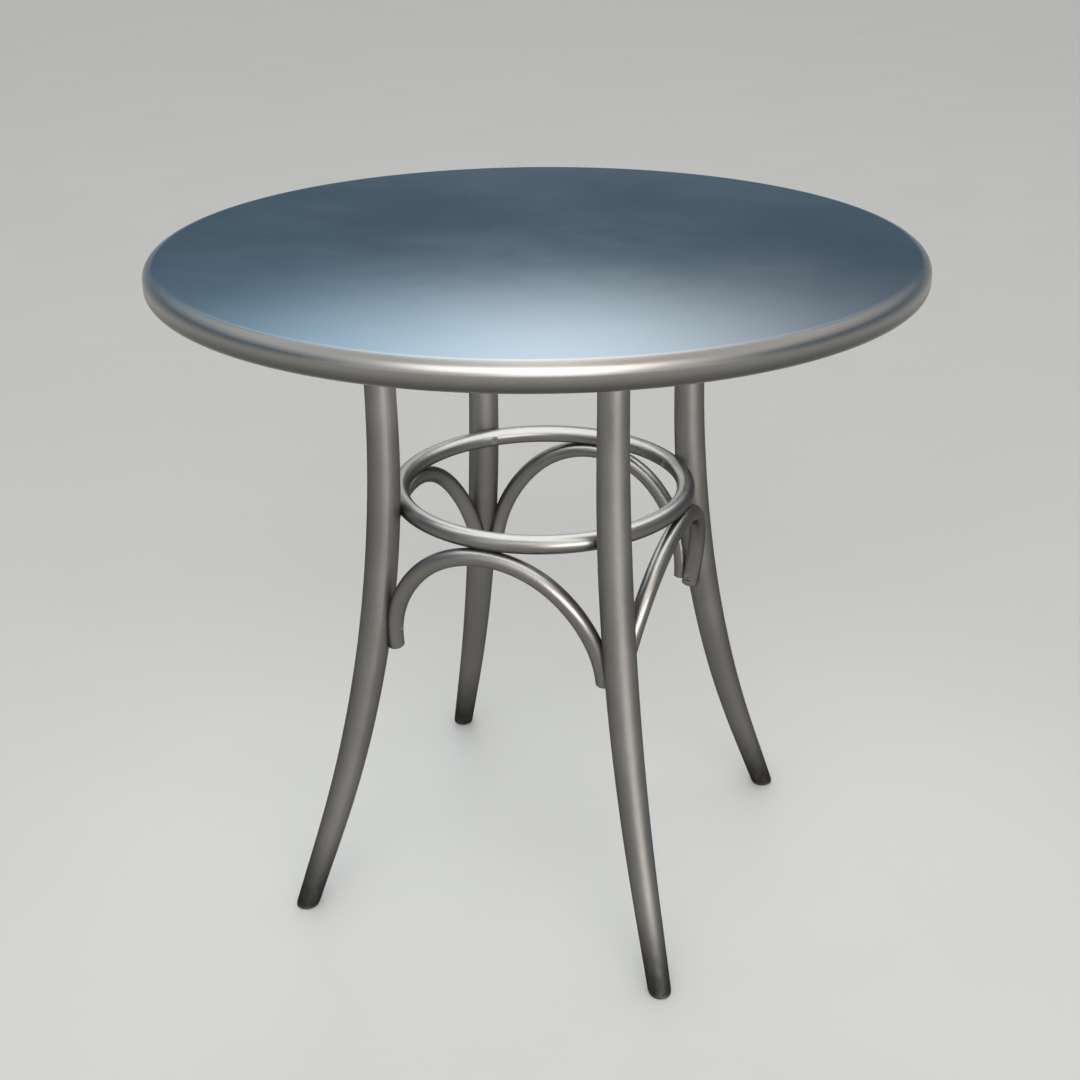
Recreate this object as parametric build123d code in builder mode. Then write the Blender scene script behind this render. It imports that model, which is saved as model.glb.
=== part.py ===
from build123d import *
from math import asin, atan2, cos, degrees, pi, radians, sin, sqrt, tan
import os

# Round bistro table: a metal-clad top on four flared legs, which a ring and four arched
# braces hold together. Millimetres, +Z up, front towards -Y. The origin is on the floor
# under the middle of the top. The legs stand on the diagonals, the braces face +X, -X, +Y, -Y.

# Top
TABLE_HEIGHT = 750.0
TOP_DIAMETER = 800.0
TOP_THICKNESS = 28.0
RIM_TOP_RADIUS = 13.0
RIM_BOTTOM_RADIUS = 9.0
SKIN_THICKNESS = 1.0
HEM_WIDTH = 15.0
BACKING_THICKNESS = 1.0

# Legs: straight down to the bend, then one long arc outwards, then straight to the floor
LEG_STANCE_RADIUS = 180.5
LEG_BEND_HEIGHT = 590.0
LEG_BEND_RADIUS = 1410.0
LEG_SPLAY = 20.75
LEG_FOOT_DIAMETER = 25.0
LEG_BELLY_DIAMETER = 36.0
LEG_BELLY_HEIGHT = 430.0
LEG_NECK_DIAMETER = 32.0
LEG_NECK_HEIGHT = 680.0
LEG_ANGLES = {"front_right": -45, "back_right": 45, "back_left": 135, "front_left": -135}

# Ring that ties the legs, let into their inner sides by its bed
RING_HEIGHT = 477.5
RING_BAR_DIAMETER = 20.0
RING_BED = 1.29

# Arched braces, one between each two legs: each foot is let into its leg where the leg has
# been passed round by the foot's turn from its innermost side, and the crown into the ring
BRACE_BAR_DIAMETER = 19.0
BRACE_BASE_HEIGHT = 321.5
BRACE_FOOT_TURN = 22.6
BRACE_FOOT_BED = 1.67
BRACE_CROWN_OFFSET = 3.6
BRACE_CROWN_BED = 0.8
BRACE_SIDE_ANGLE = 45.0
BRACE_END_ROUNDING = 2.0
BRACE_ANGLES = {"front": 0, "right": 90, "back": 180, "left": 270}

# Turn that brings the front brace's crown to the left of the leg towards +X
CROWN_TO_LEG_TURN = 135
RING_QUARTER_START = -20

# Flanges that carry the top
FLANGE_DIAMETER = 92.0
FLANGE_THICKNESS = 5.0
FLANGE_EDGE_ROUNDING = 1.0
COLLAR_WALL = 7.0
COLLAR_HEIGHT = 14.0
COLLAR_EDGE_ROUNDING = 2.0
TOP_SCREW_OFFSET = 36.0

# Foot glides
GLIDE_PAD_HEIGHT = 4.0
GLIDE_PAD_INSET = 0.6
GLIDE_EDGE_ROUNDING = 1.0
GLIDE_STEM_DIAMETER = 10.0
GLIDE_STEM_LENGTH = 22.0

# Screws: diameter, head diameter and head height, all countersunk with a hexagon socket
FRAME_SCREW = (5.0, 9.0, 2.2)
TOP_SCREW = (4.5, 8.4, 2.2)
LEG_BOLT = (8.0, 15.0, 4.0)
SOCKET_DEPTH_SHARE = 0.7
SOCKET_WIDTH_SHARE = 0.55
RING_SCREW_LENGTH = 33.0
BRACE_LEG_SCREW_LENGTH = 28.0
BRACE_RING_SCREW_LENGTH = 28.0
TOP_SCREW_LENGTH = 22.0
LEG_BOLT_LENGTH = 40.0
HEAD_SINK = 0.9
LOW_SCREW_ANGLE = 5.0
HIGH_SCREW_ANGLE = 11.0

# Fits
CLEARANCE = 0.05
TRIM_RUN_OUT = 12.0
BEND_SECTIONS = 7

# Which side of a screw's seat a shape stands on, along the way the screw is driven
ABOVE_SEAT = (Align.CENTER, Align.CENTER, Align.MIN)
BELOW_SEAT = (Align.CENTER, Align.CENTER, Align.MAX)

# Levels that follow from the sizes above
TOP_UNDERSIDE = TABLE_HEIGHT - TOP_THICKNESS
CORE_UNDERSIDE = TOP_UNDERSIDE + SKIN_THICKNESS + CLEARANCE
BACKING_UNDERSIDE = CORE_UNDERSIDE - CLEARANCE - BACKING_THICKNESS
FLANGE_TOP = BACKING_UNDERSIDE - CLEARANCE
LEG_TOP = FLANGE_TOP - FLANGE_THICKNESS - CLEARANCE
LEG_FOOT = GLIDE_PAD_HEIGHT + CLEARANCE


def leg_diameter(height):
    """Diameter of the leg: swelling from the foot to the belly, then easing to the neck."""
    if height < LEG_BELLY_HEIGHT:
        swell = sin(pi / 2 * height / LEG_BELLY_HEIGHT)
        return LEG_FOOT_DIAMETER + (LEG_BELLY_DIAMETER - LEG_FOOT_DIAMETER) * swell
    climb = min(1, (height - LEG_BELLY_HEIGHT) / (LEG_NECK_HEIGHT - LEG_BELLY_HEIGHT))
    ease = (1 - cos(pi * climb)) / 2
    return LEG_BELLY_DIAMETER + (LEG_NECK_DIAMETER - LEG_BELLY_DIAMETER) * ease


def leg_bend_point(angle):
    """Radius and height of the centreline where the leg has turned by angle degrees."""
    radius = LEG_STANCE_RADIUS + LEG_BEND_RADIUS * (1 - cos(radians(angle)))
    return radius, LEG_BEND_HEIGHT - LEG_BEND_RADIUS * sin(radians(angle))


def leg_foot_point(height):
    """Radius and height of the centreline on the straight foot."""
    bend_radius, bend_height = leg_bend_point(LEG_SPLAY)
    return bend_radius + (bend_height - height) * tan(radians(LEG_SPLAY)), height


def leg_axis_at(height):
    """Radius of the centreline at a height, and its lean there in degrees."""
    lean = degrees(asin(max(0, LEG_BEND_HEIGHT - height) / LEG_BEND_RADIUS))
    if lean > LEG_SPLAY:
        return leg_foot_point(height)[0], LEG_SPLAY
    return leg_bend_point(lean)[0], lean


def leg_section(point, angle):
    """Plane square to the centreline of the leg that stands towards +X."""
    lean = radians(angle)
    return Plane((point[0], 0, point[1]), x_dir=(0, 1, 0), z_dir=(-sin(lean), 0, cos(lean)))


def leg_sections():
    """Section planes from under the floor to above the leg's top."""
    bend_end = leg_bend_point(LEG_SPLAY)[1]
    sections = [leg_section(leg_foot_point(-TRIM_RUN_OUT), LEG_SPLAY)]
    sections.append(leg_section(leg_foot_point(bend_end / 2), LEG_SPLAY))
    for step in range(BEND_SECTIONS + 1):
        angle = LEG_SPLAY * (1 - step / BEND_SECTIONS)
        sections.append(leg_section(leg_bend_point(angle), angle))
    rise = LEG_TOP + TRIM_RUN_OUT - LEG_BEND_HEIGHT
    for share in (0.25, 0.5, 1):
        height = LEG_BEND_HEIGHT + rise * share
        sections.append(leg_section((LEG_STANCE_RADIUS, height), 0))
    return sections


def leg_envelope(growth):
    """The leg's full round shape towards +X, its radius grown by growth, ends untrimmed."""
    with BuildPart() as envelope:
        for plane in leg_sections():
            with BuildSketch(plane):
                Circle(leg_diameter(plane.origin.Z) / 2 + growth)
        loft()
    return envelope.part


def turned(shape, angle):
    """The shape turned about the table's axis."""
    return shape.rotate(Axis.Z, angle)


def top_half_section(inset):
    """Half the top's rounded section, drawn in from its faces by inset."""
    edge = TOP_DIAMETER / 2 - inset
    upper = TABLE_HEIGHT - inset
    lower = TOP_UNDERSIDE + inset
    with BuildSketch(Plane.XZ) as half:
        with BuildLine():
            Polyline((0, upper), (edge, upper), (edge, lower), (0, lower), close=True)
        make_face()
        rim = half.vertices().group_by(Axis.X)[-1].sort_by(Axis.Y)
        fillet(rim[-1], RIM_TOP_RADIUS - inset)
        rim = half.vertices().group_by(Axis.Y)[0].sort_by(Axis.X)
        fillet(rim[-1], RIM_BOTTOM_RADIUS - inset)
    return half.sketch


def screw(seat, size, length):
    """Countersunk screw: seat is the plane of its head's flat face, driven along its normal."""
    diameter, head_diameter, head_height = size
    with BuildPart() as body:
        with Locations(seat):
            Cone(head_diameter / 2, diameter / 2, head_height, align=ABOVE_SEAT)
            Cylinder(diameter / 2, length, align=ABOVE_SEAT)
        with BuildSketch(seat):
            RegularPolygon(diameter * SOCKET_WIDTH_SHARE / 2, 6, major_radius=False)
        extrude(amount=head_height * SOCKET_DEPTH_SHARE, mode=Mode.SUBTRACT)
    return body.part


def screw_hole(seat, size, length):
    """Hole for that screw, grown by the clearance, open above its head."""
    diameter, head_diameter, head_height = size
    bore = diameter / 2 + CLEARANCE
    mouth = head_diameter / 2 + CLEARANCE
    with BuildPart() as hole:
        with Locations(seat):
            Cone(mouth, bore, head_height, align=ABOVE_SEAT)
            Cylinder(bore, length + CLEARANCE, align=ABOVE_SEAT)
            Cylinder(mouth, head_height, align=BELOW_SEAT)
    return hole.part


def seat_through(centre, target, bar_diameter):
    """Seat of a screw driven through a bar's centre towards target, sunk into its far side."""
    drive = (Vector(*target) - Vector(*centre)).normalized()
    return Plane(Vector(*centre) - drive * (bar_diameter / 2 - HEAD_SINK), z_dir=drive)


os.makedirs("parts", exist_ok=True)


def save(part, label):
    """Label a finished piece and write it."""
    part.label = label
    export_step(part, f"parts/{label}.step")


# Ring: as large as fits between the legs with its bed in each
ring_leg_radius, ring_leg_lean = leg_axis_at(RING_HEIGHT)
leg_inner_radius = ring_leg_radius - leg_diameter(RING_HEIGHT) / 2 / cos(radians(ring_leg_lean))
ring_radius = leg_inner_radius + RING_BED - RING_BAR_DIAMETER / 2

# Feet of the front brace: the right one beside the front right leg, the left one its mirror
foot_reach = (leg_diameter(BRACE_BASE_HEIGHT) + BRACE_BAR_DIAMETER) / 2 - BRACE_FOOT_BED
foot_angle = radians(LEG_ANGLES["front_right"] + 180 + BRACE_FOOT_TURN)
foot_leg_angle = radians(LEG_ANGLES["front_right"])
foot_leg_radius = leg_axis_at(BRACE_BASE_HEIGHT)[0]
half_span = foot_leg_radius * cos(foot_leg_angle) + foot_reach * cos(foot_angle)
base_radius = -foot_leg_radius * sin(foot_leg_angle) - foot_reach * sin(foot_angle)

# Path of the front brace: a three-centred arch on a plane that leans outwards from its feet
# to its crown under the ring
crown_radius = ring_radius + BRACE_CROWN_OFFSET
crown_reach = (RING_BAR_DIAMETER + BRACE_BAR_DIAMETER) / 2 - BRACE_CROWN_BED
crown_height = RING_HEIGHT - sqrt(crown_reach**2 - BRACE_CROWN_OFFSET**2)
lean = atan2(crown_radius - base_radius, crown_height - BRACE_BASE_HEIGHT)
arch_rise = (crown_height - BRACE_BASE_HEIGHT) / cos(lean)
side_turn = radians(BRACE_SIDE_ANGLE)
centre_gap = (arch_rise - half_span) / (cos(side_turn) + sin(side_turn) - 1)
side_radius = half_span + centre_gap * cos(side_turn)
crown_arc_radius = arch_rise - centre_gap * sin(side_turn)
brace_plane = Plane(
    origin=(0, -base_radius, BRACE_BASE_HEIGHT),
    x_dir=(1, 0, 0),
    z_dir=(0, -cos(lean), -sin(lean)),
)


def brace_side_point(angle, side):
    """Point on the front brace's centreline, angle degrees up its side arc; side is 1 or -1."""
    across = half_span - side_radius * (1 - cos(radians(angle)))
    return brace_plane.from_local_coords((side * across, side_radius * sin(radians(angle)), 0))


def leg_axis_near(point, leg_angle):
    """Point of a leg's centreline, in its bend, that is nearest to point."""
    direction = Vector(cos(radians(leg_angle)), sin(radians(leg_angle)), 0)
    bend_centre = LEG_STANCE_RADIUS + LEG_BEND_RADIUS
    turn = atan2(LEG_BEND_HEIGHT - point.Z, bend_centre - point.dot(direction))
    radius, height = leg_bend_point(degrees(turn))
    return direction * radius + Vector(0, 0, height)


# Screw seats in the front brace: a low one at its right foot, a high one at its left foot,
# so that the two screws that enter each leg pass one above the other.
low_point = brace_side_point(LOW_SCREW_ANGLE, 1)
high_point = brace_side_point(HIGH_SCREW_ANGLE, -1)
low_target = leg_axis_near(low_point, LEG_ANGLES["front_right"])
high_target = leg_axis_near(high_point, LEG_ANGLES["front_left"])
low_seat = seat_through(low_point, low_target, BRACE_BAR_DIAMETER)
high_seat = seat_through(high_point, high_target, BRACE_BAR_DIAMETER)

# Screw seat in its crown, and in the ring for the leg towards +X
crown_point = (0, -crown_radius, crown_height)
crown_seat = seat_through(crown_point, (0, -ring_radius, RING_HEIGHT), BRACE_BAR_DIAMETER)
ring_target = (ring_leg_radius, 0, RING_HEIGHT)
ring_seat = seat_through((ring_radius, 0, RING_HEIGHT), ring_target, RING_BAR_DIAMETER)

# Bolt and screw seats in the flange of the leg towards +X
leg_bolt_seat = Plane((LEG_STANCE_RADIUS, 0, FLANGE_TOP - CLEARANCE), z_dir=(0, 0, -1))
flange_face = Vector(LEG_STANCE_RADIUS, 0, FLANGE_TOP - FLANGE_THICKNESS + CLEARANCE)
top_screw_offset = Vector(TOP_SCREW_OFFSET, 0, 0)
top_screw_seats = [
    Plane(flange_face + top_screw_offset.rotate(Axis.Z, turn)) for turn in (0, 90, 180, 270)
]
top_screw_holes = [screw_hole(seat, TOP_SCREW, TOP_SCREW_LENGTH) for seat in top_screw_seats]

leg_room = leg_envelope(CLEARANCE)
leg_shape = leg_envelope(0)
ring_screw_hole = screw_hole(ring_seat, FRAME_SCREW, RING_SCREW_LENGTH)
low_screw_hole = screw_hole(low_seat, FRAME_SCREW, BRACE_LEG_SCREW_LENGTH)
high_screw_hole = screw_hole(high_seat, FRAME_SCREW, BRACE_LEG_SCREW_LENGTH)
crown_screw_hole = screw_hole(crown_seat, FRAME_SCREW, BRACE_RING_SCREW_LENGTH)
leg_bolt_hole = screw_hole(leg_bolt_seat, LEG_BOLT, LEG_BOLT_LENGTH)

# Top: formed metal skin, rolled over the rim and hemmed under the edge
with BuildPart() as top_skin:
    revolve(top_half_section(0), axis=Axis.Z)
    revolve(top_half_section(SKIN_THICKNESS), axis=Axis.Z, mode=Mode.SUBTRACT)
    with BuildSketch(Plane.XY.offset(TOP_UNDERSIDE)):
        Circle(TOP_DIAMETER / 2 - HEM_WIDTH)
    extrude(amount=SKIN_THICKNESS, mode=Mode.SUBTRACT)
save(top_skin.part, "top_skin")

# Board that fills the skin
with BuildPart() as top_core:
    revolve(top_half_section(SKIN_THICKNESS + CLEARANCE), axis=Axis.Z)
    for leg_angle in LEG_ANGLES.values():
        for hole in top_screw_holes:
            add(turned(hole, leg_angle), mode=Mode.SUBTRACT)
save(top_core.part, "top_core")

# Sheet that closes the underside inside the hem
with BuildPart() as underside_sheet:
    with BuildSketch(Plane.XY.offset(BACKING_UNDERSIDE)):
        Circle(TOP_DIAMETER / 2 - HEM_WIDTH - CLEARANCE)
    extrude(amount=BACKING_THICKNESS)
    for leg_angle in LEG_ANGLES.values():
        for hole in top_screw_holes:
            add(turned(hole, leg_angle), mode=Mode.SUBTRACT)
save(underside_sheet.part, "underside_sheet")

# Room for the leg's top in its flange's collar
with BuildPart() as collar_room:
    add(leg_room)
    split(bisect_by=Plane.XY.offset(LEG_TOP + CLEARANCE), keep=Keep.BOTTOM)

# Flange with a collar round the leg's top
with BuildPart() as flange:
    with BuildSketch(Plane.XY.offset(FLANGE_TOP)):
        with Locations((LEG_STANCE_RADIUS, 0)):
            Circle(FLANGE_DIAMETER / 2)
    extrude(amount=-FLANGE_THICKNESS)
    fillet(flange.edges().group_by(Axis.Z)[0], FLANGE_EDGE_ROUNDING)
    with BuildSketch(Plane.XY.offset(FLANGE_TOP - FLANGE_THICKNESS)):
        with Locations((LEG_STANCE_RADIUS, 0)):
            Circle(LEG_NECK_DIAMETER / 2 + COLLAR_WALL)
    extrude(amount=-COLLAR_HEIGHT)
    fillet(flange.edges().group_by(Axis.Z)[0], COLLAR_EDGE_ROUNDING)
    add(collar_room.part, mode=Mode.SUBTRACT)
    add(leg_bolt_hole, mode=Mode.SUBTRACT)
    for hole in top_screw_holes:
        add(hole, mode=Mode.SUBTRACT)

# Leg: one tapered casting, tapped for its bolt and screws and bored for its glide
glide_stem_plane = leg_section(leg_foot_point(GLIDE_PAD_HEIGHT / 2), LEG_SPLAY)
with BuildPart() as leg:
    add(leg_shape)
    split(bisect_by=Plane.XY.offset(LEG_FOOT), keep=Keep.TOP)
    split(bisect_by=Plane.XY.offset(LEG_TOP), keep=Keep.BOTTOM)
    add(leg_bolt_hole, mode=Mode.SUBTRACT)
    add(ring_screw_hole, mode=Mode.SUBTRACT)
    add(turned(low_screw_hole, -LEG_ANGLES["front_right"]), mode=Mode.SUBTRACT)
    add(turned(high_screw_hole, -LEG_ANGLES["front_left"]), mode=Mode.SUBTRACT)
    with BuildSketch(glide_stem_plane):
        Circle(GLIDE_STEM_DIAMETER / 2 + CLEARANCE)
    extrude(amount=GLIDE_STEM_LENGTH + CLEARANCE, mode=Mode.SUBTRACT)

# Glide: a pad of the leg's own outline with a stem up into it
with BuildPart() as glide:
    add(leg_envelope(-GLIDE_PAD_INSET))
    split(bisect_by=Plane.XY, keep=Keep.TOP)
    split(bisect_by=Plane.XY.offset(GLIDE_PAD_HEIGHT), keep=Keep.BOTTOM)
    fillet(glide.edges().group_by(Axis.Z)[0], GLIDE_EDGE_ROUNDING)
    with BuildSketch(glide_stem_plane):
        Circle(GLIDE_STEM_DIAMETER / 2)
    extrude(amount=GLIDE_STEM_LENGTH)

for place, leg_angle in LEG_ANGLES.items():
    save(turned(flange.part, leg_angle), f"top_flange_{place}")
    save(turned(leg.part, leg_angle), f"leg_{place}")
    save(turned(glide.part, leg_angle), f"foot_glide_{place}")

# Ring: round bar rolled to a hoop, bedded on the legs from inside
with BuildPart() as ring_room:
    with BuildSketch(Plane.XZ):
        with Locations((ring_radius, RING_HEIGHT)):
            Circle(RING_BAR_DIAMETER / 2 + CLEARANCE)
    revolve(axis=Axis.Z)

# A quarter of it, with the bed and screw hole of one leg and the screw hole of one brace
with BuildPart() as ring_quarter:
    with BuildSketch(Plane.XZ.rotated((0, 0, RING_QUARTER_START))):
        with Locations((ring_radius, RING_HEIGHT)):
            Circle(RING_BAR_DIAMETER / 2)
    revolve(axis=Axis.Z, revolution_arc=90)
    add(leg_room, mode=Mode.SUBTRACT)
    add(ring_screw_hole, mode=Mode.SUBTRACT)
    add(turned(crown_screw_hole, CROWN_TO_LEG_TURN), mode=Mode.SUBTRACT)

# The four quarters' outer faces, without their cut ends, close round one endless bar
quarter_ends = ring_quarter.faces().filter_by(GeomType.PLANE).sort_by(SortBy.AREA)[-2:]
quarter_skin = [face for face in ring_quarter.faces() if face not in quarter_ends]
ring_skin = [turned(face, angle) for angle in LEG_ANGLES.values() for face in quarter_skin]
with BuildPart() as stretcher_ring:
    add(Solid(Shell(ring_skin)))
save(stretcher_ring.part, "stretcher_ring")

# Brace: bent round bar, its feet bedded against two legs and its crown under the ring
with BuildPart() as brace:
    with BuildLine(brace_plane) as brace_path:
        right_side = JernArc((half_span, 0), (0, 1), side_radius, BRACE_SIDE_ANGLE)
        crown = JernArc(right_side @ 1, right_side % 1, crown_arc_radius, 180 - 2 * BRACE_SIDE_ANGLE)
        JernArc(crown @ 1, crown % 1, side_radius, BRACE_SIDE_ANGLE)
    with BuildSketch(Plane(origin=brace_path.line @ 0, z_dir=brace_path.line % 0)):
        Circle(BRACE_BAR_DIAMETER / 2)
    sweep()
    fillet(brace.faces().filter_by(GeomType.PLANE).edges(), BRACE_END_ROUNDING)
    add(turned(leg_room, LEG_ANGLES["front_right"]), mode=Mode.SUBTRACT)
    add(turned(leg_room, LEG_ANGLES["front_left"]), mode=Mode.SUBTRACT)
    add(ring_room.part, mode=Mode.SUBTRACT)
    add(low_screw_hole, mode=Mode.SUBTRACT)
    add(high_screw_hole, mode=Mode.SUBTRACT)
    add(crown_screw_hole, mode=Mode.SUBTRACT)

for place, brace_angle in BRACE_ANGLES.items():
    save(turned(brace.part, brace_angle), f"arch_brace_{place}")

# Fixings: each pattern is one node of separate screws
ring_screw = screw(ring_seat, FRAME_SCREW, RING_SCREW_LENGTH)
leg_bolt = screw(leg_bolt_seat, LEG_BOLT, LEG_BOLT_LENGTH)
top_screws_at_leg = [screw(seat, TOP_SCREW, TOP_SCREW_LENGTH) for seat in top_screw_seats]
low_screw = screw(low_seat, FRAME_SCREW, BRACE_LEG_SCREW_LENGTH)
high_screw = screw(high_seat, FRAME_SCREW, BRACE_LEG_SCREW_LENGTH)
crown_screw = screw(crown_seat, FRAME_SCREW, BRACE_RING_SCREW_LENGTH)

with BuildPart() as ring_screws:
    for leg_angle in LEG_ANGLES.values():
        add(turned(ring_screw, leg_angle))
save(ring_screws.part, "ring_screws")

with BuildPart() as leg_bolts:
    for leg_angle in LEG_ANGLES.values():
        add(turned(leg_bolt, leg_angle))
save(leg_bolts.part, "leg_bolts")

with BuildPart() as top_screws:
    for leg_angle in LEG_ANGLES.values():
        for top_screw in top_screws_at_leg:
            add(turned(top_screw, leg_angle))
save(top_screws.part, "top_screws")

with BuildPart() as brace_leg_screws:
    for brace_angle in BRACE_ANGLES.values():
        add(turned(low_screw, brace_angle))
        add(turned(high_screw, brace_angle))
save(brace_leg_screws.part, "brace_leg_screws")

with BuildPart() as brace_ring_screws:
    for brace_angle in BRACE_ANGLES.values():
        add(turned(crown_screw, brace_angle))
save(brace_ring_screws.part, "brace_ring_screws")
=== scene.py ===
import math

import bpy
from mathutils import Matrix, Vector


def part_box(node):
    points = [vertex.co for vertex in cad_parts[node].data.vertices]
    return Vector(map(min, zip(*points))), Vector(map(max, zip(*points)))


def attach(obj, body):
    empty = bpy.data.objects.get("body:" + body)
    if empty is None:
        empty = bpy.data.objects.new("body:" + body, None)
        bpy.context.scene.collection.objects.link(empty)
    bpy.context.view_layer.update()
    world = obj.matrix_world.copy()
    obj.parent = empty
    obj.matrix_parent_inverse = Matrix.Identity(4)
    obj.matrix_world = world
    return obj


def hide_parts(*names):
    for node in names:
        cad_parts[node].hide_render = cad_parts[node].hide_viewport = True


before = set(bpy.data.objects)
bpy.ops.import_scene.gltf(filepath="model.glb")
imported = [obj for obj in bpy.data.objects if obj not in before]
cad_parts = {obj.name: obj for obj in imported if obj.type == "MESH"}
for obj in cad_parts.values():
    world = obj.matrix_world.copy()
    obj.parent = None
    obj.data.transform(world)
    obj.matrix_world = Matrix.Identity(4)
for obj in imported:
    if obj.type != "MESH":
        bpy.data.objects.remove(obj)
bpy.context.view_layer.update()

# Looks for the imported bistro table: satin metal, a raw board, a painted backing sheet, nylon
# glides and stainless screws, on a pale floor in a soft studio. Metres, +Z up.

LEG_PLACES = ("front_right", "back_right", "back_left", "front_left")
BRACE_PLACES = ("front", "right", "back", "left")
SCREW_NODES = ("ring_screws", "leg_bolts", "top_screws", "brace_leg_screws", "brace_ring_screws")

TOP_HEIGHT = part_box("top_skin")[1].z
TOP_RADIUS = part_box("top_skin")[1].x
TOP_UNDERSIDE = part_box("top_skin")[0].z

# Formed skin of the top
RIM_TOP_RADIUS = 0.013
RIM_BOTTOM_RADIUS = 0.009
SKIN_THICKNESS = 0.001
HEM_WIDTH = 0.015
SKIN_TURNS = 360
RIM_STEPS = 24
FLAT_RINGS = (0.05, 0.12, 0.20, 0.28, 0.35)
SHARP_ANGLE = 40

# Top's colours: flat sheet where dull and where rubbed, its brushed grain, and the rim from its
# low edge, in painted shade, to its high one
SHEET_COLOUR = (0.36, 0.375, 0.39)
SHEET_DULL = (0.35, 0.368, 0.388, 1)
SHEET_RUBBED = (0.39, 0.402, 0.415, 1)
SHEET_GRAIN = (0.30, 0.318, 0.338, 1)
RIM_PAINTED_SHADE = (0.10, 0.095, 0.088, 1)
RIM_HIGH = (0.35, 0.336, 0.317, 1)
RIM_EXTRA_ROUGHNESS = 0.2
SHEET_RELIEF = 0.000001

# Frame's metals: grey, roughness, and how finely the polishing lines repeat along each axis.
# Cast legs are polished lengthwise, and bars all round.
CAST_FINISH = (0.16, 0.5, (900, 900, 18))
BAR_FINISH = (0.18, 0.34, (600, 600, 600))
EDGE_TINT = (0.35, 0.34, 0.33, 1)
# Painted shade on the frame near the floor: its near-black colour, and the height over which it fades out
PAINTED_FLOOR_SHADE = (0.026, 0.025, 0.023, 1)
PAINTED_SHADE_HEIGHT = 0.115
FRAME_RELIEF = 0.000012

# Camera
CAMERA_PLACE = (0.5978, -1.4512, 1.1371)
CAMERA_AIM = (0.0510, 0.0190, 0.3975)
CAMERA_LENS = 50.95
CAMERA_SENSOR = 36.0
CAMERA_SHIFT = (-0.0484, 0.0088)

# Studio surroundings. The walls' and the strip's brightness go by the sine of the height above
# the horizon, and the rest by the parts of the direction across and along the line of sight.
WALL_STOPS = [
    (-1.0, (0.12, 0.12, 0.115)),
    (0.0, (0.30, 0.34, 0.38)),
    (0.15, (0.26, 0.35, 0.42)),
    (0.205, (0.10, 0.155, 0.205)),
    (0.29, (0.10, 0.15, 0.20)),
    (0.45, (0.36, 0.39, 0.42)),
    (0.70, (0.80, 0.79, 0.77)),
    (1.0, (0.80, 0.78, 0.74)),
]
STRIP_RISE_STOPS = [
    (0.245, (0.0, 0.0, 0.0)),
    (0.312, (1.30, 1.48, 1.58)),
    (0.36, (1.45, 1.55, 1.60)),
    (0.60, (1.86, 1.82, 1.76)),
    (0.85, (1.30, 1.25, 1.18)),
    (1.0, (1.20, 1.15, 1.08)),
]
STRIP_SIDE_STOPS = [
    (-0.30, (0.0, 0.0, 0.0)),
    (-0.18, (0.36, 0.50, 0.58)),
    (-0.08, (0.72, 0.80, 0.84)),
    (0.007, (1.06, 1.06, 1.06)),
    (0.09, (0.76, 0.75, 0.74)),
    (0.18, (0.34, 0.32, 0.31)),
    (0.30, (0.0, 0.0, 0.0)),
]
STRIP_REACH_STOPS = [
    (-0.90, (0.0, 0.0, 0.0)),
    (-0.60, (1.0, 1.0, 1.0)),
    (1.0, (1.0, 1.0, 1.0)),
]
FRONT_FILL_STOPS = [
    (-1.0, (0.85, 0.82, 0.78)),
    (-0.75, (0.62, 0.60, 0.57)),
    (-0.35, (0.0, 0.0, 0.0)),
    (1.0, (0.0, 0.0, 0.0)),
]

# Light panels by name: place across the line of sight, beyond the table and above the floor, then
# width and height, watts, and colour
UNDER_LIGHT_DROP = 0.045
PANELS = {
    "floor_light": ((0, 1.5, 6), (6, 6), 64, (1.0, 0.985, 0.96)),
    "front_panel": ((-0.1, -2.2, 2.5), (3.0, 2.0), 40, (1.0, 0.98, 0.95)),
    "right_panel": ((1.25, -3.0, 0.9), (2.2, 1.2), 92, (1.0, 0.97, 0.93)),
    "back_panel": ((-0.8, 2.9, 1.1), (2.4, 1.2), 34, (0.95, 0.98, 1.0)),
    "rim_panel": ((0.2, -3.0, 1.45), (1.6, 1.0), 11, (1.0, 0.96, 0.90)),
    "left_panel": ((-1.5, -1.7, 0.9), (0.5, 1.1), 2.5, (0.95, 0.97, 1.0)),
    "under_light": ((0, 0, TOP_HEIGHT - UNDER_LIGHT_DROP), (0.56, 0.56), 4.4, (0.93, 0.98, 1.0)),
}
FLAGGED_PANELS = ("right_panel", "left_panel", "back_panel")
FLOOR_SIZE = 60


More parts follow.
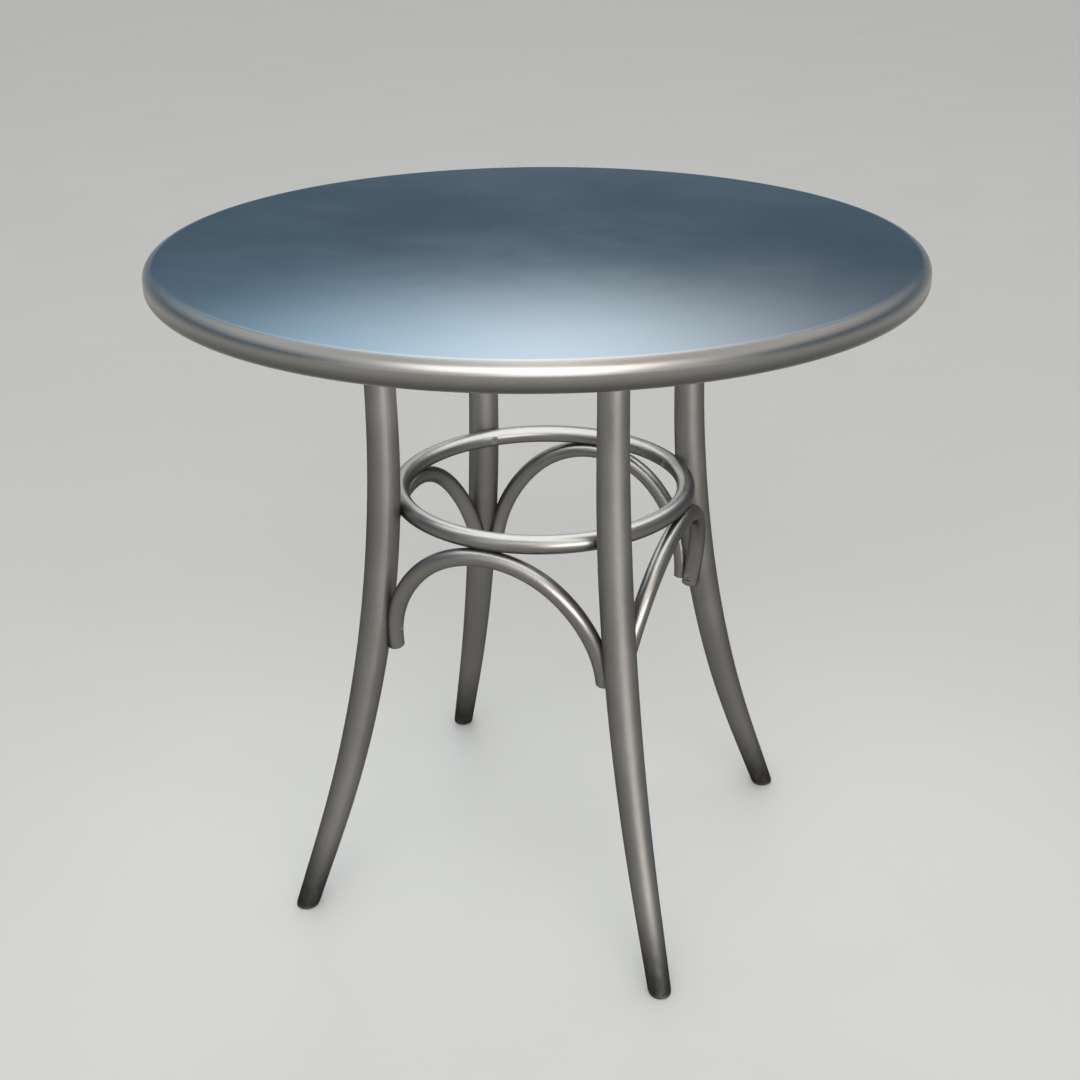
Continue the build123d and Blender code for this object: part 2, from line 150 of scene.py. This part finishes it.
class Finish:
    """A procedural material in the making: nodes are added and linked until it is right. The plain
    colour and roughness that it starts with stay behind the links."""

    def __init__(self, name, colour, metallic, roughness):
        self.material = bpy.data.materials.new(name)
        self.material.use_nodes = True
        self.tree = self.material.node_tree
        self.shader = self.tree.nodes["Principled BSDF"]
        self.set("Base Color", (*colour, 1))
        self.set("Metallic", metallic)
        self.set("Roughness", roughness)
        self.place = self.node("ShaderNodeTexCoord").outputs["Object"]

    def set(self, socket, value):
        """Give one of the shader's inputs a constant or a link."""
        self._fill(self.shader.inputs[socket], value)

    def node(self, kind, inputs=None, **settings):
        """Add a node, with its settings and with constants or links for its inputs."""
        made = self.tree.nodes.new(kind)
        for key, value in settings.items():
            setattr(made, key, value)
        for socket, value in (inputs or {}).items():
            self._fill(made.inputs[socket], value)
        return made

    def _fill(self, socket, value):
        if isinstance(value, bpy.types.NodeSocket):
            self.tree.links.new(value, socket)
        else:
            socket.default_value = value

    def math(self, operation, *values):
        inputs = dict(enumerate(values))
        return self.node("ShaderNodeMath", inputs, operation=operation).outputs[0]

    def spread(self, value, low, high, to_low=0.0, to_high=1.0):
        """Take value smoothly from the range low..high to the range to_low..to_high, clamped."""
        inputs = {"Value": value, "From Min": low, "From Max": high, "To Min": to_low, "To Max": to_high}
        return self.node("ShaderNodeMapRange", inputs, interpolation_type="SMOOTHSTEP").outputs[0]

    def stretched(self, x, y, z):
        """The place's coordinates multiplied by x, y and z."""
        inputs = {0: self.place, 1: (x, y, z)}
        return self.node("ShaderNodeVectorMath", inputs, operation="MULTIPLY").outputs[0]

    def noise(self, vector, detail, rough):
        """Fractal noise from 0 to 1 at the given coordinates."""
        inputs = {"Vector": vector, "Scale": 1.0, "Detail": detail, "Roughness": rough}
        return self.node("ShaderNodeTexNoise", inputs).outputs[0]

    def cell_borders(self, vector, scale, width):
        """Thin lines from 0 to 1, which are the borders of irregular cells."""
        inputs = {"Vector": vector, "Scale": scale}
        cells = self.node("ShaderNodeTexVoronoi", inputs, feature="DISTANCE_TO_EDGE")
        return self.spread(cells.outputs["Distance"], 0.0, width, 1.0, 0.0)

    def mix(self, share, first, second):
        """Number between first and second."""
        inputs = {0: share, 2: first, 3: second}
        return self.node("ShaderNodeMix", inputs, data_type="FLOAT").outputs[0]

    def mix_colour(self, share, first, second):
        """Colour between first and second."""
        inputs = {0: share, 6: first, 7: second}
        return self.node("ShaderNodeMix", inputs, data_type="RGBA").outputs[2]

    def bump(self, height, distance):
        """Set the shader's normal from a height, of which 1 stands for distance in metres."""
        inputs = {"Height": height, "Distance": distance}
        self.set("Normal", self.node("ShaderNodeBump", inputs).outputs[0])

    def polar(self):
        """Angle round the table's axis, distance from it, and height."""
        split = self.node("ShaderNodeSeparateXYZ", {0: self.place})
        x, y, z = split.outputs[0], split.outputs[1], split.outputs[2]
        square = self.math("ADD", self.math("MULTIPLY", x, x), self.math("MULTIPLY", y, y))
        return self.math("ARCTAN2", y, x), self.math("SQRT", square), z

    def height(self):
        """Height above the floor."""
        return self.node("ShaderNodeSeparateXYZ", {0: self.place}).outputs["Z"]


def top_metal():
    """Satin sheet, brushed one way across the flat and round the rim, rubbed by use, with painted shade
    darkening the rim towards its low edge.
    """
    finish = Finish("top_metal", SHEET_COLOUR, 1.0, 0.1)
    turn, radius, height = finish.polar()
    rim_share = finish.spread(radius, TOP_RADIUS - 0.014, TOP_RADIUS - 0.004)
    flat_grain = finish.noise(finish.stretched(14, 2600, 2600), detail=3.0, rough=0.6)
    wrap_inputs = {0: finish.math("MULTIPLY", turn, 6.0), 2: finish.math("MULTIPLY", height, 2600.0)}
    wrap = finish.node("ShaderNodeCombineXYZ", wrap_inputs).outputs[0]
    grain = finish.mix(rim_share, flat_grain, finish.noise(wrap, detail=3.0, rough=0.6))
    smudges = finish.noise(finish.stretched(5, 5, 5), detail=5.0, rough=0.62)
    scratches = finish.cell_borders(finish.stretched(9, 60, 9), scale=3.0, width=0.012)

    sheet = finish.mix_colour(finish.spread(smudges, 0.35, 0.72), SHEET_DULL, SHEET_RUBBED)
    brushed = finish.mix_colour(finish.spread(grain, 0.2, 0.8, 0.0, 0.35), sheet, SHEET_GRAIN)
    # Painted shade on the rim: dark at its low edge, and lighter up to its high edge
    rim_shade_fade = finish.spread(height, TOP_UNDERSIDE + 0.003, TOP_HEIGHT - 0.010)
    rim = finish.mix_colour(rim_shade_fade, RIM_PAINTED_SHADE, RIM_HIGH)
    finish.set("Base Color", finish.mix_colour(rim_share, brushed, rim))

    smudged = finish.spread(smudges, 0.3, 0.75, 0.075, 0.105)
    rough = finish.math("ADD", smudged, finish.spread(grain, 0.25, 0.75, -0.01, 0.01))
    rough = finish.math("ADD", rough, finish.math("MULTIPLY", scratches, 0.04))
    rim_extra = finish.math("MULTIPLY", rim_share, RIM_EXTRA_ROUGHNESS)
    finish.set("Roughness", finish.math("ADD", rough, rim_extra))
    finish.bump(finish.math("SUBTRACT", grain, finish.math("MULTIPLY", scratches, 0.4)), SHEET_RELIEF)
    return finish.material


def frame_metal(name, grey, roughness, line_shape):
    """Satin metal with fine polishing lines, with painted shade darkening it towards the floor, and scuffs
    that roughen it there.
    """
    finish = Finish(name, (grey, grey, grey), 1.0, roughness)
    lines = finish.noise(finish.stretched(*line_shape), detail=2.0, rough=0.5)
    pores = finish.noise(finish.stretched(1500, 1500, 1500), detail=2.0, rough=0.6)
    cloud = finish.noise(finish.stretched(16, 16, 9), detail=4.0, rough=0.6)
    scuff_and_shade_cells = finish.noise(finish.stretched(120, 120, 60), detail=5.0, rough=0.7)
    # Painted shade: the colour goes towards near black nearer the floor. The cells break it up a little, and
    # the same share also makes the metal rougher there, like scuffs
    low = finish.spread(finish.height(), 0.0, PAINTED_SHADE_HEIGHT, 1.0, 0.0)
    shade_and_scuff = finish.math("MULTIPLY", low, finish.spread(scuff_and_shade_cells, 0.35, 0.7, 0.82, 1.0))

    dull = (grey, grey * 0.95, grey * 0.9, 1)
    bright = (grey * 1.16, grey * 1.11, grey * 1.06, 1)
    clean = finish.mix_colour(finish.spread(cloud, 0.3, 0.75), dull, bright)
    finish.set("Base Color", finish.mix_colour(shade_and_scuff, clean, PAINTED_FLOOR_SHADE))
    finish.set("Specular Tint", EDGE_TINT)

    rough = finish.spread(cloud, 0.3, 0.75, roughness - 0.04, roughness + 0.05)
    finish.set("Roughness", finish.math("ADD", rough, finish.math("MULTIPLY", shade_and_scuff, 0.12)))
    relief = finish.math("ADD", finish.math("MULTIPLY", lines, 0.5), finish.math("MULTIPLY", pores, 0.6))
    finish.bump(relief, FRAME_RELIEF)
    return finish.material


def board():
    """Raw fibreboard with its pressed fibres."""
    finish = Finish("board", (0.42, 0.30, 0.19), 0.0, 0.8)
    dark_fibre, light_fibre = (0.33, 0.23, 0.14, 1), (0.52, 0.39, 0.26, 1)
    fibres = finish.noise(finish.stretched(700, 700, 1800), detail=4.0, rough=0.7)
    finish.set("Base Color", finish.mix_colour(fibres, dark_fibre, light_fibre))
    finish.bump(fibres, 0.0001)
    return finish.material


def backing_paint():
    """Matt pale grey paint on sheet, with a fine orange peel."""
    finish = Finish("backing_paint", (0.62, 0.63, 0.64), 0.0, 0.5)
    dark_grey, light_grey = (0.58, 0.59, 0.60, 1), (0.66, 0.67, 0.68, 1)
    peel = finish.noise(finish.stretched(420, 420, 420), detail=2.0, rough=0.5)
    cloud = finish.noise(finish.stretched(6, 6, 6), detail=4.0, rough=0.6)
    finish.set("Base Color", finish.mix_colour(cloud, dark_grey, light_grey))
    finish.set("Roughness", finish.spread(cloud, 0.3, 0.7, 0.5, 0.62))
    finish.bump(peel, 0.00006)
    return finish.material


def glide_nylon():
    """Black nylon, worn grey and dusty where it meets the floor."""
    finish = Finish("glide_nylon", (0.02, 0.02, 0.02), 0.0, 0.5)
    black, dust = (0.018, 0.018, 0.019, 1), (0.14, 0.135, 0.125, 1)
    worn_height = 0.0015
    specks = finish.noise(finish.stretched(900, 900, 900), detail=3.0, rough=0.6)
    worn = finish.spread(finish.height(), 0.0, worn_height, 1.0, 0.0)
    dusty = finish.math("MULTIPLY", worn, finish.spread(specks, 0.35, 0.65))
    finish.set("Base Color", finish.mix_colour(dusty, black, dust))
    finish.set("Roughness", finish.spread(specks, 0.3, 0.7, 0.45, 0.6))
    finish.bump(specks, 0.00003)
    return finish.material


def screw_steel():
    """Plain stainless steel, turned, and dull with stains."""
    finish = Finish("screw_steel", (0.22, 0.215, 0.205), 1.0, 0.34)
    clean, stained = (0.24, 0.235, 0.225, 1), (0.15, 0.14, 0.13, 1)
    turned = finish.noise(finish.stretched(2200, 2200, 2200), detail=2.0, rough=0.5)
    stain = finish.noise(finish.stretched(260, 260, 260), detail=4.0, rough=0.6)
    finish.set("Base Color", finish.mix_colour(finish.spread(stain, 0.45, 0.7), clean, stained))
    finish.set("Roughness", finish.spread(stain, 0.3, 0.7, 0.3, 0.42))
    finish.bump(turned, 0.000008)
    return finish.material


def pale_floor():
    """Plain matt pale floor."""
    finish = Finish("pale_floor", (0.40, 0.393, 0.38), 0.0, 0.8)
    darker, lighter = (0.415, 0.41, 0.40, 1), (0.445, 0.44, 0.43, 1)
    cloud = finish.noise(finish.stretched(2.2, 2.2, 2.2), detail=5.0, rough=0.55)
    finish.set("Base Color", finish.mix_colour(cloud, darker, lighter))
    return finish.material


def dress(node, material):
    """Put a material on a CAD node in place of its own."""
    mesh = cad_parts[node].data
    mesh.materials.clear()
    mesh.materials.append(material)


def arc(radius, height, bend, start, end):
    """Points of an arc of radius bend, from start to end in degrees, in the skin's section. Its
    centre is at that radius and height."""
    points = []
    for step in range(RIM_STEPS + 1):
        turn = math.radians(start + (end - start) * step / RIM_STEPS)
        points.append((radius + bend * math.cos(turn), height + bend * math.sin(turn)))
    return points


def skin_section():
    """Section of the formed skin as radius and height, from the axis out, round and back in."""
    upper = (TOP_RADIUS - RIM_TOP_RADIUS, TOP_HEIGHT - RIM_TOP_RADIUS)
    lower = (TOP_RADIUS - RIM_BOTTOM_RADIUS, TOP_UNDERSIDE + RIM_BOTTOM_RADIUS)
    inner_top = TOP_HEIGHT - SKIN_THICKNESS
    hem_edge = TOP_RADIUS - HEM_WIDTH
    section = [(radius, TOP_HEIGHT) for radius in (*FLAT_RINGS, upper[0] - SKIN_THICKNESS)]
    section += arc(*upper, RIM_TOP_RADIUS, 90, 0)
    section += arc(*lower, RIM_BOTTOM_RADIUS, 0, -90)
    section += [(hem_edge, TOP_UNDERSIDE), (hem_edge, TOP_UNDERSIDE + SKIN_THICKNESS)]
    section += arc(*lower, RIM_BOTTOM_RADIUS - SKIN_THICKNESS, -90, 0)
    section += arc(*upper, RIM_TOP_RADIUS - SKIN_THICKNESS, 0, 90)
    section += [(radius, inner_top) for radius in reversed(FLAT_RINGS)]
    return section


def formed_skin(section):
    """The skin spun from its section, in place of the CAD node's coarser one."""
    count = len(section)
    corners = []
    for step in range(SKIN_TURNS):
        turn = 2 * math.pi * step / SKIN_TURNS
        corners += [(radius * math.cos(turn), radius * math.sin(turn), height) for radius, height in section]
    outer_middle, inner_middle = len(corners), len(corners) + 1
    corners += [(0, 0, section[0][1]), (0, 0, section[-1][1])]
    faces = []
    for step in range(SKIN_TURNS):
        here, there = step * count, (step + 1) % SKIN_TURNS * count
        for row in range(count - 1):
            faces.append((here + row, here + row + 1, there + row + 1, there + row))
        faces.append((outer_middle, here, there))
        faces.append((inner_middle, there + count - 1, here + count - 1))
    mesh = bpy.data.meshes.new("formed_skin")
    mesh.from_pydata(corners, [], faces)
    mesh.shade_smooth()
    mesh.set_sharp_from_angle(angle=math.radians(SHARP_ANGLE))
    mesh.materials.append(top_metal())
    skin = bpy.data.objects.new("formed_skin", mesh)
    bpy.context.scene.collection.objects.link(skin)
    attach(skin, "root")
    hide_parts("top_skin")
    return skin


def aim(thing, place, target):
    """Put a camera or a light at place, and turn it to target."""
    thing.location = place
    thing.rotation_mode = "QUATERNION"
    thing.rotation_quaternion = (Vector(target) - Vector(place)).to_track_quat("-Z", "Y")


def make_camera():
    """Camera in front of the table and to its right, looking down on it."""
    data = bpy.data.cameras.new("camera")
    data.lens = CAMERA_LENS
    data.sensor_width = CAMERA_SENSOR
    data.shift_x, data.shift_y = CAMERA_SHIFT
    camera = bpy.data.objects.new("camera", data)
    bpy.context.scene.collection.objects.link(camera)
    aim(camera, CAMERA_PLACE, CAMERA_AIM)
    bpy.context.scene.camera = camera


def make_floor(size):
    """Floor under the table, which isn't part of it."""
    mesh = bpy.data.meshes.new("floor")
    half = size / 2
    corners = [(-half, -half, 0), (half, -half, 0), (half, half, 0), (-half, half, 0)]
    mesh.from_pydata(corners, [], [(0, 1, 2, 3)])
    mesh.materials.append(pale_floor())
    floor = bpy.data.objects.new("floor", mesh)
    bpy.context.scene.collection.objects.link(floor)
    return floor


class Studio:
    """The surroundings that the metal mirrors: dim walls, a long soft strip of light that runs from
    behind the table up and over it, along the line of sight, and a soft fill behind the camera."""

    def __init__(self):
        world = bpy.data.worlds.new("studio")
        bpy.context.scene.world = world
        world.use_nodes = True
        self.tree = world.node_tree
        self.direction = self.tree.nodes.new("ShaderNodeTexCoord").outputs["Generated"]
        split = self.tree.nodes.new("ShaderNodeSeparateXYZ")
        self.tree.links.new(self.direction, split.inputs[0])
        self.height = split.outputs["Z"]

    def along(self, axis):
        """Component of the direction along axis."""
        made = self.tree.nodes.new("ShaderNodeVectorMath")
        made.operation = "DOT_PRODUCT"
        self.tree.links.new(self.direction, made.inputs[0])
        made.inputs[1].default_value = axis
        return made.outputs["Value"]

    def ramp(self, value, stops, shape="EASE"):
        """Colour by value, from (value, colour) stops."""
        low, high = stops[0][0], stops[-1][0]
        share = self.tree.nodes.new("ShaderNodeMapRange")
        share.inputs["From Min"].default_value = low
        share.inputs["From Max"].default_value = high
        self.tree.links.new(value, share.inputs["Value"])
        made = self.tree.nodes.new("ShaderNodeValToRGB")
        made.color_ramp.interpolation = shape
        elements = made.color_ramp.elements
        while len(elements) < len(stops):
            elements.new(0.5)
        for element, (position, colour) in zip(elements, stops):
            element.position = (position - low) / (high - low)
            element.color = (*colour, 1)
        self.tree.links.new(share.outputs[0], made.inputs[0])
        return made.outputs[0]

    def blend(self, kind, first, second):
        """Two colours added or multiplied."""
        made = self.tree.nodes.new("ShaderNodeMix")
        made.data_type = "RGBA"
        made.blend_type = kind
        made.inputs[0].default_value = 1
        self.tree.links.new(first, made.inputs[6])
        self.tree.links.new(second, made.inputs[7])
        return made.outputs[2]

    def light_up(self, colour):
        background = self.tree.nodes["Background"]
        self.tree.links.new(colour, background.inputs["Color"])


def make_world(across, away):
    """Fill in the studio, given the horizontal axes across and along the line of sight."""
    studio = Studio()
    walls = studio.ramp(studio.height, WALL_STOPS)
    rise = studio.ramp(studio.height, STRIP_RISE_STOPS)
    side = studio.ramp(studio.along(across), STRIP_SIDE_STOPS, "B_SPLINE")
    reach = studio.ramp(studio.along(away), STRIP_REACH_STOPS)
    strip = studio.blend("MULTIPLY", studio.blend("MULTIPLY", rise, side), reach)
    fill = studio.ramp(studio.along(away), FRONT_FILL_STOPS)
    studio.light_up(studio.blend("ADD", studio.blend("ADD", walls, fill), strip))


def soft_box(name, place, target, size, power, colour):
    """Rectangular area light, which the camera doesn't see."""
    data = bpy.data.lights.new(name, "AREA")
    data.shape = "RECTANGLE"
    data.size, data.size_y = size
    data.energy = power
    data.color = colour
    light = bpy.data.objects.new(name, data)
    bpy.context.scene.collection.objects.link(light)
    aim(light, place, target)
    light.visible_camera = False
    return light


def make_lights(across, away, skin, floor):
    """Panels round the table, given the horizontal axes across and along the line of sight."""
    middle = Vector((0, 0, TOP_HEIGHT / 2))
    panels = {}
    for name, ((sideways, beyond, height), size, power, colour) in PANELS.items():
        place = across * sideways + away * beyond + Vector((0, 0, height))
        panels[name] = soft_box(name, place, middle, size, power, colour)
    panels["floor_light"].visible_glossy = False

    # The low panels are flagged off the top's skin, which has its own, and off the floor
    flagged = bpy.data.collections.new("flagged")
    for unlit in (skin, floor):
        flagged.objects.link(unlit)
    for link in flagged.collection_objects:
        link.light_linking.link_state = "EXCLUDE"
    for name in FLAGGED_PANELS:
        panels[name].light_linking.receiver_collection = flagged
    skin_only = bpy.data.collections.new("skin_only")
    skin_only.objects.link(skin)
    panels["rim_panel"].light_linking.receiver_collection = skin_only


camera_turn = math.atan2(CAMERA_PLACE[0], -CAMERA_PLACE[1])
sight_across = Vector((math.cos(camera_turn), math.sin(camera_turn), 0))
sight_away = Vector((-math.sin(camera_turn), math.cos(camera_turn), 0))
make_camera()
make_world(sight_across, sight_away)
make_lights(sight_across, sight_away, formed_skin(skin_section()), make_floor(FLOOR_SIZE))

cast_metal = frame_metal("cast_metal", *CAST_FINISH)
bar_metal = frame_metal("bar_metal", *BAR_FINISH)
nylon = glide_nylon()
steel = screw_steel()
dress("top_core", board())
dress("underside_sheet", backing_paint())
dress("stretcher_ring", bar_metal)
for place in LEG_PLACES:
    dress(f"leg_{place}", cast_metal)
    dress(f"top_flange_{place}", cast_metal)
    dress(f"foot_glide_{place}", nylon)
for place in BRACE_PLACES:
    dress(f"arch_brace_{place}", bar_metal)
for node in SCREW_NODES:
    dress(node, steel)

bpy.context.scene.view_settings.view_transform = "Standard"

bpy.context.view_layer.update()
